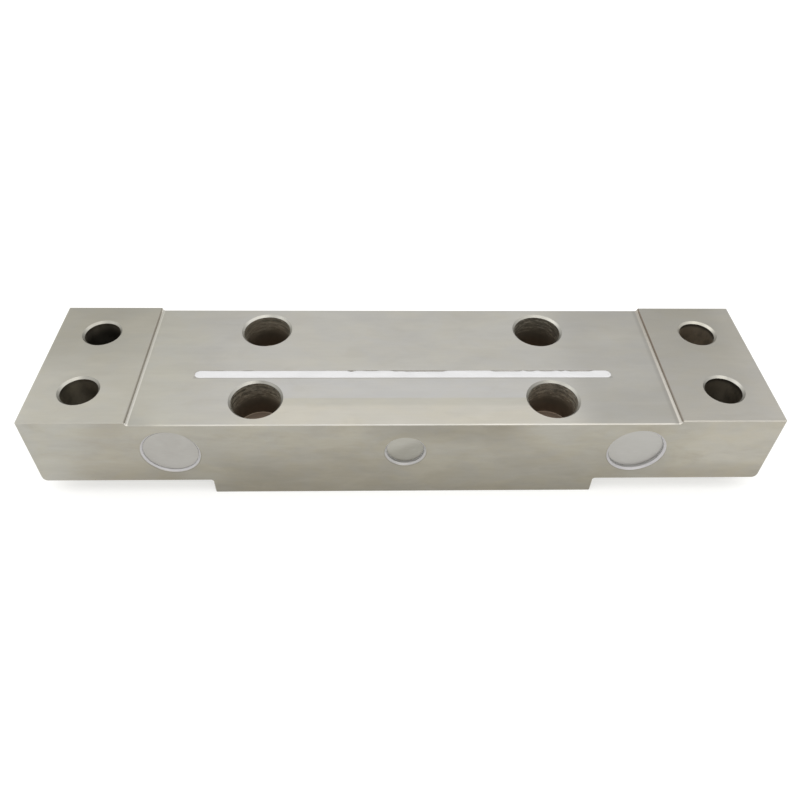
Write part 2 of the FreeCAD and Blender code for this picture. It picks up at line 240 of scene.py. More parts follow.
class PlatedSteel(Finish):
    """Satin nickel plate on ground steel: clouded, ground along the beam, dull brown in the bolt holes. Many
    of its tones are painted light and shade, told in each layer below.
    """

    def __init__(self):
        super().__init__("plated_steel", roughness=0.4, metallic=1.0)
        self.mark_faces()
        self.mark_recesses()
        self.mark_bores()
        self.draw_patterns()
        self.draw_rings()
        # The sides and undersides take a darker tone than the top: painted shade.
        tone = self.mix(self.largest(self.side, self.underside), self.top_tone(), self.side_tone())
        for layer in (self.deck_bands, self.wear, self.long_edges, self.steps, self.slot_edges,
                      self.cover_recesses, self.countersinks):
            tone = layer(tone)
        self.colour(self.mix(self.bore, tone, self.bore_tone()))
        self.relief()

    def by_end(self, at_left, at_right):
        return self.band(self.x, -HALF_BLEND, HALF_BLEND, at_left, at_right)

    def by_face(self, on_top, on_side):
        return self.band(self.flank, FLAT_FROM, FLAT_FULL, on_top, on_side)

    def mark_faces(self):
        """Shares that tell the faces and halves of the beam apart."""
        self.ax = self.math("ABSOLUTE", self.x)
        self.ay = self.math("ABSOLUTE", self.y)
        self.flank = self.math("ABSOLUTE", self.ny)
        self.side = self.by_face(0.0, 1.0)
        self.not_side = self.inverse(self.side)
        self.front_face = self.band(self.ny, -FLAT_FROM, -FLAT_FULL)
        self.flat_top = self.band(self.nz, FLAT_FROM, FLAT_FULL)
        self.underside = self.band(self.nz, -0.60, -0.80)
        self.left = self.by_end(1.0, 0.0)
        self.right = self.by_end(0.0, 1.0)
        self.front = self.band(self.y, HALF_BLEND, -HALF_BLEND)
        self.rear = self.band(self.y, -HALF_BLEND, HALF_BLEND)
        self.nearer = self.band(self.y, 32.0, -34.0)
        self.on_pad = self.band(self.ax, 100.0, 110.0)
        self.deck = self.product(self.band(self.z, DECK_Z + 0.8, DECK_Z + 0.4), self.flat_top)

    def mark_recesses(self):
        """Recesses of the covers. The rear has none in the middle, so its distance there is out of reach."""
        gauge_d = self.distance(self.ax, self.z, (GAUGE_X, AXIS_Z))
        middle_d = self.distance(self.x, self.z, (0.0, AXIS_Z))
        self.board_d = self.total(middle_d, self.product(self.rear, GAUGE_X))
        self.from_seat = self.math("MINIMUM", self.math("SUBTRACT", gauge_d, GAUGE_SEAT_R),
                                   self.math("SUBTRACT", self.board_d, BOARD_SEAT_R))
        self.seat_depth = self.band(self.ay, SEAT_Y - 0.2, SEAT_Y)
        right_wider = self.math("SUBTRACT", self.from_seat, self.band(self.x, 60.0, 70.0, 0.0, 0.16))
        self.recess = self.product(self.band(right_wider, SEAT_CHAMFER - 0.10, SEAT_CHAMFER - 0.26),
                                   self.seat_depth)

    def mark_bores(self):
        """Walls of the bolt holes below their chamfers, and the ledge in the stepped ones."""
        self.foot_d = self.distance(self.ax, self.ay, FOOT_HOLE)
        self.load_d = self.distance(self.ax, self.ay, LOAD_HOLE)
        self.head_bore = self.bore_below(DECK_Z - HEAD_CHAMFER, self.foot_d, HEAD_BORE_R)
        self.load_bore = self.bore_below(PAD_Z - LOAD_CHAMFER, self.load_d, LOAD_HOLE_R)
        self.bore = self.product(self.largest(self.head_bore, self.load_bore), self.inverse(self.underside))
        self.mouth = self.product(self.band(self.z, 31.0, 36.0), self.head_bore)
        self.front_right_bore = self.product(self.right, self.front, self.head_bore)
        self.ledge = self.product(self.band(self.z, HEAD_SEAT_Z + 0.6, HEAD_SEAT_Z + 0.1),
                                  self.band(self.nz, 0.7, 0.9))

    def bore_below(self, top_z, from_axis, radius):
        return self.product(self.band(from_axis, radius + 0.12, radius + 0.04),
                            self.band(self.z, top_z + 0.05, top_z - 0.15))

    def draw_patterns(self):
        self.clouds = self.noise((0.022, 0.045, 0.045), detail=4.0, roughness=0.55, warp=0.6)
        self.patches = self.noise((0.05, 0.09, 0.09), detail=3.0, shift=(31, 7, 3), warp=0.8)
        self.smudges = self.noise((0.055, 0.16, 0.16), detail=4.0, roughness=0.6, shift=(3, 14, 9), warp=0.6)
        self.hues = self.noise((0.055, 0.085, 0.085), detail=4.0, roughness=0.6, shift=(12, 25, 8), warp=0.7)
        self.wipes = self.noise((0.10, 0.55, 0.55), detail=3.0, roughness=0.6, shift=(7, 2, 16), warp=0.3)
        self.blotches = self.noise((0.034, 0.08, 0.085), detail=5.0, roughness=0.65, shift=(17, 3, 21),
                                   warp=0.5)
        self.grain = self.noise((0.035, 4.5, 4.5), detail=4.0, roughness=0.65, shift=(5, 0, 0))
        self.streaks = self.noise((0.006, 0.22, 0.22), detail=3.0, shift=(2, 9, 4))

    def draw_rings(self):
        """Boring marks in the mouths of the stepped holes, fainter at the rear and in the front right one."""
        wobble = self.noise((0.05, 0.05, 0.10), detail=2.0, shift=(3, 3, 11))
        wave = self.math("SINE", self.total(self.product(self.z, 2.9), self.product(wobble, 4.0)))
        strength = self.band(self.noise((0.05, 0.05, 0.22), detail=1.0, shift=(9, 2, 5)), 0.30, 0.58)
        softer = self.inverse(self.product(self.front_right_bore, 0.45))
        self.rings = self.product(wave, strength, softer, self.mouth, self.band(self.y, 2.0, -2.0, 0.42, 1.0))
        self.fine_rings = self.noise((0.24, 0.24, 1.15), detail=5.0, roughness=0.72, shift=(8, 1, 2))

    def top_tone(self):
        """Deck and load pads. Painted shade dulls the deck towards its ends, most at the front on the right,
        and dulls the pads towards the rear.
        """
        x, y = self.x, self.y
        clouding = self.band(self.clouds, 0.38, 0.66)
        deck = self.mix(clouding, (0.546, 0.532, 0.497), (0.574, 0.559, 0.515))
        # Painted shade on the deck towards the right, towards the left and in its front left corner.
        right_deck_shade = self.product(self.band(x, 60.0, 81.0), self.band(y, 4.0, -32.0, 0.28, 0.50))
        left_corner_shade = self.product(self.band(x, -92.0, -107.0), self.band(y, -20.0, -34.0), 0.24)
        left_deck_shade = self.total(self.band(x, -50.0, -90.0, 0.0, 0.20), left_corner_shade)
        deck = self.mix(self.largest(right_deck_shade, left_deck_shade), deck, (0.345, 0.333, 0.306))
        deck = self.tinted(self.band(x, -78.0, -100.0), deck, (0.998, 1.0, 0.966))
        pad = self.mix(clouding, (0.506, 0.490, 0.434), (0.544, 0.526, 0.470))
        pad = self.mix(self.product(self.right, 0.75), pad, (0.456, 0.438, 0.404))
        # Painted shade: the pads darken towards the rear.
        pad_rear_shade = self.product(self.band(y, -30.0, 34.0), self.by_end(0.68, 0.46),
                                self.band(self.ax, STEP_X, STEP_X + 20.0, 0.55, 1.0))
        pad = self.mix(pad_rear_shade, pad, (0.372, 0.354, 0.300))
        pad = self.mix(self.band(x, 136.0, 149.0, 0.0, 0.40), pad, (0.540, 0.520, 0.480))
        return self.mix(self.band(self.ax, STEP_X + 0.3, STEP_X + 1.0), deck, pad)

    def side_tone(self):
        """Long sides, in painted shade: darker than the top and darker still towards the foot. The front has
        painted highlights at its ends, painted shade low at both ends and beside the left cover, and a few
        stains.
        """
        x, z = self.x, self.z
        # Painted shade: the sides' tones are darker than the top's.
        tone = self.mix(self.band(self.clouds, 0.36, 0.64), (0.355, 0.336, 0.287), (0.402, 0.385, 0.334))
        # Painted shade towards the foot, most in the middle of the beam.
        painted_foot_shade = self.product(self.band(self.ax, 125.0, 85.0), self.band(z, 46.0, -6.0, 0.05, 0.52))
        tone = self.mix(self.product(painted_foot_shade, self.side), tone, (0.158, 0.142, 0.104))
        # Painted highlights at the ends of the front; painted shade low at both ends and beside the left
        # cover.
        leaning = self.total(x, self.product(self.math("SUBTRACT", PAD_Z, z), 0.54))
        painted_left_highlight = self.band(leaning, -114.0, -132.0, 0.0, 0.9)
        painted_right_highlight = self.product(self.band(x, 108.0, 124.0), self.band(z, 11.0, 20.0), 0.8)
        painted_low_left_shade = self.product(self.span(x, -140.0, -120.0, -98.0, -86.0), self.band(z, 22.0, 10.0), 0.40)
        painted_low_right_shade = self.product(self.band(x, 96.0, 112.0), self.band(z, 21.0, 11.0), 0.5)
        painted_shade_by_left_cover = self.product(self.span(x, -80.0, -70.0, -62.0, -34.0), self.band(z, 30.0, 12.0), 0.24)
        upper_stain = self.product(self.span(x, -26.0, 8.0, 36.0, 50.0), self.band(z, 26.0, 38.0), 0.52)
        # Each zone tints the front face: the painted highlights and shades above, then a stained patch high
        # up.
        for zone, zone_tone in (
            (painted_left_highlight, (0.404, 0.393, 0.350)), (painted_right_highlight, (0.418, 0.396, 0.340)),
            (painted_low_left_shade, (0.220, 0.198, 0.150)), (painted_low_right_shade, (0.270, 0.240, 0.185)),
            (painted_shade_by_left_cover, (0.185, 0.165, 0.120)), (upper_stain, (0.215, 0.200, 0.162)),
        ):
            tone = self.mix(self.product(self.front_face, zone), tone, zone_tone)
        return self.mix(self.band(self.blotches, 0.48, 0.72, 0.0, 0.26), tone, (0.262, 0.240, 0.184))

    def deck_bands(self, tone):
        """Cool band, and a warm strip of painted reflection, along the front row of stepped holes."""
        row_y = -FOOT_HOLE[1]
        along_holes = self.product(self.span(self.x, -72.0, -50.0, 52.0, 74.0), self.deck)
        cool_band = self.product(self.span(self.y, row_y, row_y + 1.0, -10.5, -9.0), along_holes, 0.75)
        tone = self.mix(cool_band, tone, (0.583, 0.575, 0.564))
        # Painted reflection: a warm strip in front of the front row of stepped holes, palest towards the
        # front edge.
        strip = self.product(self.band(self.y, row_y + 1.0, row_y), along_holes, 0.88)
        reflection_strip_tone = self.mix(self.band(self.y, -24.2, -26.4), (0.566, 0.546, 0.482), (0.632, 0.603, 0.533))
        return self.mix(strip, tone, reflection_strip_tone)

    def wear(self, tone):
        """Patches, grinding marks and streaks, then hues, smudges and wipe marks, clearer on the sides."""
        tone = self.mix(self.band(self.patches, 0.52, 0.74, 0.0, 0.12), tone, (0.40, 0.375, 0.31))
        tone = self.mix(self.band(self.grain, 0.30, 0.75, 0.0, 0.08), tone, (0.36, 0.35, 0.32))
        streaked = self.product(self.band(self.streaks, 0.35, 0.70, 0.0, 0.08), self.deck)
        tone = self.mix(streaked, tone, (0.66, 0.64, 0.58))
        hue = self.mix(self.band(self.hues, 0.38, 0.62), (0.972, 0.985, 1.045), (1.025, 1.0, 0.952))
        tone = self.tinted(self.by_face(0.24, 0.42), tone, hue)
        smudge = self.mix(self.band(self.smudges, 0.36, 0.64), (0.955, 0.955, 0.955), (1.04, 1.04, 1.04))
        tone = self.tinted(self.by_face(0.30, 0.60), tone, smudge)
        wipe = self.mix(self.band(self.wipes, 0.34, 0.66), (0.972, 0.970, 0.966), (1.028, 1.028, 1.030))
        return self.tinted(self.by_face(0.26, 0.45), tone, wipe)

    def long_edges(self, tone):
        """Broken edges between the deck and the sides: a painted highlight beside the middle, and painted
        shade that dulls them a little in it.
        """
        edge = self.product(self.band(self.nz, 0.97, 0.86), self.not_side,
                            self.band(self.ay, HALF_WIDTH - 1.1, HALF_WIDTH - 0.7),
                            self.band(self.ax, STEP_X - 1.8, STEP_X - 3.3))
        # Painted highlight on the broken edges beside the middle; painted shade on them in the middle.
        painted_highlight = self.product(edge, self.band(self.ax, 48.0, 78.0), self.band(self.x, -104.0, -84.0))
        tone = self.tinted(painted_highlight, tone, (1.25, 1.25, 1.25))
        return self.tinted(self.product(edge, self.band(self.ax, 44.0, 30.0)), tone, (0.955, 0.955, 0.955))

    def steps(self, tone):
        """Steps up to the pads: painted shade on the deck before the right one, a painted highlight in the
        cove, and a dark line of painted reflection on the brow.
        """
        # Painted shade on the deck just before the right step.
        before = self.span(self.x, STEP_X - 3.0, STEP_X - 1.6, STEP_X - 0.7, STEP_X - 0.5)
        tone = self.mix(self.product(before, self.deck, 0.22), tone, (0.22, 0.21, 0.19))
        # Painted highlight in the cove, brighter towards the front.
        cove = self.product(self.span(self.ax, STEP_X - 1.0, STEP_X - 0.65, STEP_X + 0.1, STEP_X + 0.2),
                            self.span(self.z, DECK_Z - 0.5, DECK_Z - 0.1, DECK_Z + 0.8, DECK_Z + 1.0),
                            self.not_side)
        left_cove_highlight = self.mix(self.nearer, (0.74, 0.715, 0.650), (0.82, 0.795, 0.745))
        right_cove_highlight = self.mix(self.nearer, (0.50, 0.465, 0.412), (0.72, 0.685, 0.630))
        cove_highlight_tone = self.mix(self.right, left_cove_highlight, right_cove_highlight)
        tone = self.mix(self.product(cove, self.by_end(0.66, 0.8)), tone, cove_highlight_tone)
        # Painted dark reflection: a brown line along the brow of each pad, strongest at the rear and on the
        # right.
        brow = self.product(self.band(self.ax, STEP_X + 0.60, STEP_X + 0.42),
                            self.band(self.z, DECK_Z + 0.70, DECK_Z + 0.95), self.not_side)
        brow_share = self.product(self.band(self.y, 10.0, -34.0, 0.84, 0.56), self.by_end(0.58, 1.0))
        return self.mix(self.product(brow, brow_share), tone, (0.20, 0.155, 0.115))

    def slot_edges(self, tone):
        """A dull line of painted shade before the sealant bead, and painted light on the slot's far wall
        above it, paler to the right.
        """
        near_y, far_y = SLOT_Y - SLOT_R, SLOT_Y + SLOT_R
        along_slot = self.band(self.ax, SLOT_REACH + 0.5, SLOT_REACH - 0.5)
        # Painted shade: a dull line on the deck just before the bead.
        shade_before_bead = self.span(self.y, near_y - 0.7, near_y - 0.2, near_y + 0.6, near_y + 1.2)
        tone = self.mix(self.product(shade_before_bead, along_slot, self.flat_top, 0.4), tone, (0.30, 0.29, 0.28))
        # Painted light on the slot's far wall, which lies in shade above the bead.
        wall = self.product(self.span(self.y, far_y - 0.2, far_y - 0.1, far_y + 0.1, far_y + 0.2),
                            self.band(self.z, DECK_Z - 1.3, DECK_Z - 0.9), along_slot, self.side)
        painted_wall_light = self.mix(self.band(self.x, 16.0, 28.0), (0.52, 0.49, 0.44), (0.70, 0.675, 0.635))
        return self.mix(wall, tone, painted_wall_light)

    def cover_recesses(self, tone):
        """Painted shade as a dark line under each cover's rim, and a painted highlight on the wall of its
        recess, palest where it is deep.
        """
        # Painted shade: a dark line under the lower part of each cover's rim.
        rim_shade_line = self.product(self.band(self.from_seat, SEAT_CHAMFER + 0.50, SEAT_CHAMFER + 0.10),
                                self.seat_depth, self.band(self.z, 31.0, 20.0), 0.46)
        tone = self.mix(rim_shade_line, tone, (0.16, 0.15, 0.13))
        # Painted highlight on the recess wall: paler and cooler round the gauge covers, palest in the deep
        # part.
        wall = self.mix(self.band(self.board_d, 12.0, 10.0), (0.588, 0.578, 0.592), (0.526, 0.519, 0.517))
        wall = self.mix(self.band(self.ay, HALF_WIDTH - 0.6, HALF_WIDTH - 1.6), wall, (0.64, 0.637, 0.632))
        return self.mix(self.product(self.recess, 0.9), tone, wall)

    def countersinks(self, tone):
        """Chamfers of the bolt holes: painted shade dulls them and deepens towards the beam's middle, and a
        painted highlight brightens them where they face the front.
        """
        near_hole = self.largest(self.band(self.foot_d, HEAD_BORE_R + 1.2, HEAD_BORE_R + 1.0),
                                 self.band(self.load_d, LOAD_HOLE_R + 1.3, LOAD_HOLE_R + 1.1))
        chamfer = self.product(near_hole, self.span(self.nz, 0.45, 0.60, 0.80, 0.90))
        rear_right = self.product(self.right, self.rear, self.on_pad)
        # Painted shade dulls the chamfers, less in the rear right pad holes.
        chamfer_shade = self.product(chamfer, self.math("SUBTRACT", 0.6, self.product(rear_right, 0.5)))
        tone = self.mix(chamfer_shade, tone, (0.395, 0.388, 0.352))
        # Painted shade deepens on the chamfers towards the beam's middle.
        inner_head = self.band(self.ax, FOOT_HOLE[0] + 4.0, FOOT_HOLE[0] - 3.0)
        inner_load = self.product(self.band(self.ax, LOAD_HOLE[0] + 2.5, LOAD_HOLE[0] - 2.5),
                                  self.on_pad, self.left)
        darker = self.product(chamfer, self.largest(inner_head, inner_load),
                              self.band(self.y, 6.0, -6.0, 0.30, 0.50))
        tone = self.mix(darker, tone, (0.20, 0.195, 0.175))
        # Painted highlight where the chamfers face the front, on the pads, the rear right pad holes and the
        # rear stepped holes.
        facing = self.product(chamfer, self.band(self.ny, -0.05, -0.35))
        rear_head = self.product(self.rear, self.inverse(self.on_pad))
        for place, painted_light_gain in ((self.on_pad, (1.13, 1.13, 1.14)), (rear_right, (1.12, 1.12, 1.10)),
                            (rear_head, (1.18, 1.18, 1.18))):
            tone = self.tinted(self.product(facing, place), tone, painted_light_gain)
        return tone

    def head_bore_tone(self):
        """Stepped holes, dull brown: painted shade darkens them towards the bottom, and painted light pales
        their mouth, less in the rear right one.
        """
        deep = self.mix(self.band(self.z, HEAD_SEAT_Z + 0.5, HEAD_SEAT_Z + 9.0),
                        (0.095, 0.080, 0.063), (0.225, 0.205, 0.168))
        mouth = self.mix(self.product(self.right, self.rear), (0.50, 0.468, 0.396), (0.33, 0.310, 0.262))
        return self.mix(self.band(self.z, 30.5, 36.0), deep, mouth)

    def load_bore_tone(self):
        """Pad holes, with drag marks: painted shade darkens them at the bottom, under the rim and near the
        top of the rear left one; painted light pales the rear right one and the outer wall of the front left
        one.
        """
        # Painted shade: darker towards the bottom.
        tone = self.mix(self.band(self.z, 14.0, 41.0), (0.106, 0.092, 0.073), (0.284, 0.258, 0.212))
        # Painted shade near the top of the rear left hole; painted light in the rear right one and on the
        # outer wall of the front left one.
        rear_left = self.product(self.left, self.rear, self.band(self.z, PAD_Z - 1.0, PAD_Z - 7.0), 0.75)
        tone = self.mix(rear_left, tone, (0.033, 0.032, 0.028))
        tone = self.mix(self.product(self.right, self.rear, 0.70), tone, (0.405, 0.356, 0.294))
        front_left = self.product(self.band(self.x, -131.5, -137.0), self.band(self.y, 0.0, -2.0), 0.5)
        tone = self.mix(front_left, tone, (0.46, 0.44, 0.36))
        drag = self.noise((0.13, 0.13, 0.10), detail=4.0, roughness=0.62, shift=(4, 17, 6), warp=0.5)
        drag_tint = self.mix(self.band(drag, 0.36, 0.64), (0.76, 0.74, 0.72), (1.26, 1.22, 1.18))
        tone = self.tinted(0.8, tone, drag_tint)
        # Painted shade just under the rim, stronger on the right.
        shade_under_rim = self.product(self.by_end(0.40, 0.80), self.band(self.z, PAD_Z - 3.2, PAD_Z - 1.5))
        return self.mix(shade_under_rim, tone, (0.070, 0.062, 0.052))

    def bore_tone(self):
        """Bores with their boring marks and painted glint marks in the mouth, painted light over the stepped
        holes, most in the front right one, and the brown ledge.
        """
        tone = self.mix(self.load_bore, self.head_bore_tone(), self.load_bore_tone())
        fine_pale = self.product(self.band(self.fine_rings, 0.48, 0.64), self.mouth, 0.75)
        tone = self.mix(fine_pale, tone, (0.85, 0.82, 0.73))
        fine_dark = self.product(self.band(self.fine_rings, 0.48, 0.34), self.mouth, 0.42)
        tone = self.mix(fine_dark, tone, (0.13, 0.114, 0.090))
        tone = self.mix(self.band(self.rings, 0.05, 0.9, 0.0, 0.56), tone, (0.11, 0.096, 0.076))
        tone = self.mix(self.band(self.rings, -0.10, -0.9, 0.0, 0.50), tone, (0.84, 0.80, 0.70))
        # Painted highlights: glinting specks in the mouths, towards the front, with dark specks between them.
        painted_glints = self.noise((0.42, 0.42, 1.05), detail=2.0, roughness=0.6, shift=(6, 9, 13))
        near_mouth = self.product(self.mouth, self.nearer)
        painted_highlight = self.product(self.band(painted_glints, 0.56, 0.68), near_mouth, 0.80)
        tone = self.mix(painted_highlight, tone, (1.0, 0.96, 0.85))
        between = self.product(self.band(painted_glints, 0.46, 0.34), near_mouth, 0.55)
        tone = self.mix(between, tone, (0.08, 0.072, 0.057))
        # Painted light: the stepped holes are lightened, the front right one most.
        painted_light_gain = self.mix(self.front_right_bore, (1.07, 1.065, 1.06), (1.23, 1.23, 1.25))
        tone = self.tinted(self.head_bore, tone, painted_light_gain)
        ledge_tone = self.mix(self.band(self.foot_d, HEAD_BORE_R - 0.9, HEAD_BORE_R - 0.25),
                              (0.47, 0.372, 0.302), (0.78, 0.665, 0.56))
        return self.mix(self.ledge, tone, ledge_tone)

    def relief(self):
        """Roughness, duller in the bores and recesses, and the height of grain, patches and boring marks."""
        self.roughness(self.total(
            self.band(self.clouds, 0.3, 0.7, 0.36, 0.46), self.product(self.bore, 0.1),
            self.product(self.recess, 0.18), self.product(self.bore, self.ledge, 0.15),
        ))
        grain_height = self.product(self.grain, self.band(self.z, DECK_Z + 0.4, DECK_Z + 0.8, 0.30, 0.12))
        face_height = self.total(grain_height, self.product(self.patches, 0.5))
        bore_height = self.total(self.product(self.rings, 0.8),
                                 self.product(self.fine_rings, self.mouth, 1.6))
        height = self.total(self.product(face_height, self.inverse(self.bore)),
                            self.product(bore_height, self.bore))
        self.bump(height, strength=0.25, depth=0.08)


def disc_steel(name, pale, dark, seed, painted_sheen=0.0):
    """Stamped cover disc: satin, evenly clouded, with faint wipe marks, paler on the right of the beam; a
    share of painted reflection pales its upper left part.
    """
    f = Finish(name, roughness=0.36, metallic=1.0)
    clouds = f.noise((0.09, 0.09, 0.09), detail=3.0, shift=(seed, 4, 9), warp=0.7)
    marks = f.noise((0.25, 1.0, 2.2), detail=4.0, roughness=0.6, shift=(2, seed, 5))
    tone = f.mix(f.band(clouds, 0.36, 0.66), dark, pale)
    tone = f.mix(f.band(f.x, 60.0, 100.0, 0.0, 0.30), tone, (0.484, 0.482, 0.467))
    # Painted reflection: a paler upper left part, with a cloudy edge.
    if painted_sheen:
        slant = f.math("SUBTRACT", f.z, f.total(f.product(f.x, 0.45), f.product(clouds, 3.0)))
        tone = f.mix(f.band(slant, AXIS_Z - 2.4, AXIS_Z + 3.4, 0.0, painted_sheen), tone, (0.390, 0.378, 0.340))
    f.colour(f.mix(f.band(marks, 0.45, 0.8, 0.0, 0.10), tone, (0.62, 0.62, 0.61)))
    f.roughness(f.band(clouds, 0.3, 0.7, 0.33, 0.42))
    f.bump(marks, strength=0.12, depth=0.05)
    return f.material


def soft_sealant(name, pale, dark):
    """Cured sealant: soft sheen, faint drag marks from the spatula."""
    f = Finish(name, roughness=0.48, specular=0.4)
    clouds = f.noise((0.10, 0.35, 0.35), detail=3.0, shift=(6, 2, 1))
    drag = f.noise((0.25, 3.2, 3.2), detail=3.0, roughness=0.6, shift=(1, 8, 2))
    f.colour(f.mix(f.band(clouds, 0.35, 0.7), dark, pale))
    f.roughness(f.band(drag, 0.3, 0.7, 0.40, 0.56))
    f.bump(f.total(f.product(clouds, 0.8), f.product(drag, 0.4)), strength=0.25, depth=0.12)
    return f.material


def speckled(name, pale, dark, scale, roughness, metallic=0.0, depth=0.03):
    """Small hidden or rubber part: two tones in fine speckle, with a matching bump."""
    f = Finish(name, roughness=roughness, metallic=metallic)
    grains = f.noise((scale, scale, scale), detail=4.0, roughness=0.6)
    f.colour(f.mix(f.band(grains, 0.35, 0.68), dark, pale))
    f.roughness(f.band(grains, 0.3, 0.7, roughness - 0.06, roughness + 0.08))
    f.bump(grains, strength=0.3, depth=depth)
    return f.material


def turned_nickel():
    """Nickel-plated brass with fine turning rings about the cable axis."""
    f = Finish("nickel_brass", roughness=0.26, metallic=1.0)
    from_axis = f.distance(f.x, f.z, (0.0, AXIS_Z))
    wobble = f.noise((0.6, 0.6, 0.6), detail=2.0)
    rings = f.math("SINE", f.total(f.product(f.total(from_axis, f.y), 26.0), f.product(wobble, 5.0)))
    stains = f.noise((0.22, 0.22, 0.22), detail=3.0, warp=0.5)
    tone = f.mix(f.band(stains, 0.35, 0.7), (0.64, 0.62, 0.56), (0.74, 0.73, 0.69))
    f.colour(f.mix(f.band(rings, -0.6, 1.0, 0.0, 0.12), tone, (0.42, 0.40, 0.35)))
    f.roughness(f.band(stains, 0.3, 0.7, 0.20, 0.32))
    f.bump(rings, strength=0.10, depth=0.02)
    return f.material


def gauge_foil():
    """Amber film with copper-brown foil where the grids and tabs stand proud."""
    f = Finish("gauge_film", roughness=0.38, specular=0.5)
    foil = f.band(f.math("ABSOLUTE", f.y), FOIL_Y - 0.01, FOIL_Y + 0.01)
    mottle = f.noise((0.8, 0.8, 0.8), detail=3.0)
    film = f.mix(mottle, (0.52, 0.27, 0.06), (0.62, 0.36, 0.10))
    f.colour(f.mix(foil, film, (0.40, 0.27, 0.17)))
    f.roughness(f.band(mottle, 0.3, 0.7, 0.32, 0.44))
    f.bump(mottle, strength=0.15, depth=0.02)
    return f.material


def laminate(name, pale, dark):
    """Glass laminate: crossed weave under a clear face."""
    f = Finish(name, roughness=0.42)
    warp_threads, weft_threads = (f.math("SINE", f.product(along, 9.0)) for along in (f.x, f.z))
    weave = f.product(warp_threads, weft_threads)
    mottle = f.noise((0.5, 0.5, 0.5), detail=3.0)
    tone = f.mix(f.band(mottle, 0.35, 0.68), dark, pale)
    f.colour(f.mix(f.band(weave, -0.8, 0.8, 0.0, 0.2), tone, dark))
    f.roughness(f.band(weave, -1.0, 1.0, 0.36, 0.48))
    f.bump(weave, strength=0.15, depth=0.02)
    return f.material


def pale_floor():
    """Pale studio floor that glows a little, so that only a soft shadow is left on it."""
    f = Finish("studio_floor", roughness=0.9, specular=0.05)
    drift = f.noise((0.004, 0.004, 0.004), detail=2.0)
    f.colour(f.mix(drift, (0.47, 0.47, 0.47), (0.495, 0.495, 0.492)))
    f.shader.inputs["Emission Color"].default_value = (1.0, 1.0, 0.99, 1.0)
    f.shader.inputs["Emission Strength"].default_value = 0.55
    return f.material


finishes = {
    "plated_steel": PlatedSteel().material,
    "cover_steel": disc_steel("cover_steel", (0.401, 0.389, 0.368), (0.371, 0.359, 0.337), seed=3),
    "centre_cover_steel": disc_steel(
        "centre_cover_steel", (0.318, 0.309, 0.275), (0.292, 0.282, 0.248), seed=8, painted_sheen=0.85),
    "white_sealant": soft_sealant("white_sealant", (0.614, 0.612, 0.624), (0.582, 0.580, 0.591)),
    "cover_sealant": soft_sealant("cover_sealant", (0.66, 0.66, 0.665), (0.57, 0.57, 0.575)),
    "gauge_film": gauge_foil(),
    "terminal_strip": laminate("terminal_strip", (0.62, 0.46, 0.18), (0.48, 0.34, 0.12)),
    "lead_wire": speckled(
        "lead_wire", (0.80, 0.48, 0.30), (0.66, 0.37, 0.22), scale=2.0, roughness=0.30, metallic=1.0,
        depth=0.01),
    "wire_insulation": speckled(
        "wire_insulation", (0.60, 0.05, 0.04), (0.48, 0.035, 0.03), scale=1.2, roughness=0.42,
        depth=0.01),
    "circuit_board": laminate("circuit_board", (0.035, 0.20, 0.085), (0.02, 0.13, 0.055)),
    "chip_ceramic": speckled(
        "chip_ceramic", (0.030, 0.030, 0.033), (0.016, 0.016, 0.018), scale=2.5, roughness=0.34),
    "tinned_brass": speckled(
        "tinned_brass", (0.74, 0.72, 0.66), (0.62, 0.60, 0.54), scale=1.6, roughness=0.28, metallic=1.0,
        depth=0.01),
    "nickel_brass": turned_nickel(),
    "gland_rubber": speckled(
        "gland_rubber", (0.030, 0.030, 0.030), (0.017, 0.017, 0.018), scale=1.4, roughness=0.62,
        depth=0.05),
}
for part in frame["record"]["subparts"]:
    for material_slot in frame["nodes"][part["node"]].material_slots:
        material_slot.material = finishes[part["material_slot"]]


# Hand tools: selection by place, in millimetres

def object_mode():
    if bpy.context.object and bpy.context.object.mode != "OBJECT":
        bpy.ops.object.mode_set(mode="OBJECT")


def clear_selection():
    object_mode()
    bpy.ops.object.select_all(action="DESELECT")


def take(piece):
    """Make piece the one selected object."""
    clear_selection()
    piece.select_set(True)
    bpy.context.view_layer.objects.active = piece


def begin(name):
    """Name the primitive just added and settle its place into its mesh."""
    piece = bpy.context.object
    piece.name = name
    bpy.ops.object.transform_apply(location=True, rotation=True, scale=True)
    return piece


def pick(piece, kind, test):
    """Enter edit mode with only the points, edges or faces selected that pass the test."""
    take(piece)
    mesh = piece.data
    for group in (mesh.vertices, mesh.edges, mesh.polygons):
        group.foreach_set("select", [False] * len(group))
    spots = [vertex.co / MM for vertex in mesh.vertices]
    bpy.context.tool_settings.mesh_select_mode = (kind == "points", kind == "edges", kind == "faces")
    if kind == "points":
        for vertex, spot in zip(mesh.vertices, spots):
            vertex.select = test(spot)
    elif kind == "edges":
        for edge in mesh.edges:
            edge.select = test(*(spots[end] for end in edge.vertices))
    else:
        for face in mesh.polygons:
            face.select = test(face.center / MM, face.normal)
    bpy.ops.object.mode_set(mode="EDIT")


def pick_all(piece):
    take(piece)
    bpy.ops.object.mode_set(mode="EDIT")
    bpy.ops.mesh.select_all(action="SELECT")


def inset(width, rise):
    bpy.ops.mesh.inset(thickness=width * MM, depth=rise * MM)


def finish_piece(piece, slot, *nodes):
    """Close the mesh, smooth it, give it its finish and tie it to the frame."""
    pick_all(piece)
    bpy.ops.mesh.remove_doubles(threshold=MERGE_WITHIN * MM)
    bpy.ops.mesh.normals_make_consistent(inside=False)
    take(piece)
    bpy.ops.object.shade_smooth_by_angle(angle=SMOOTH_ANGLE)
    piece.data.materials.clear()
    piece.data.materials.append(finishes[slot])
    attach(piece, "root")
    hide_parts(*nodes)


# New pieces

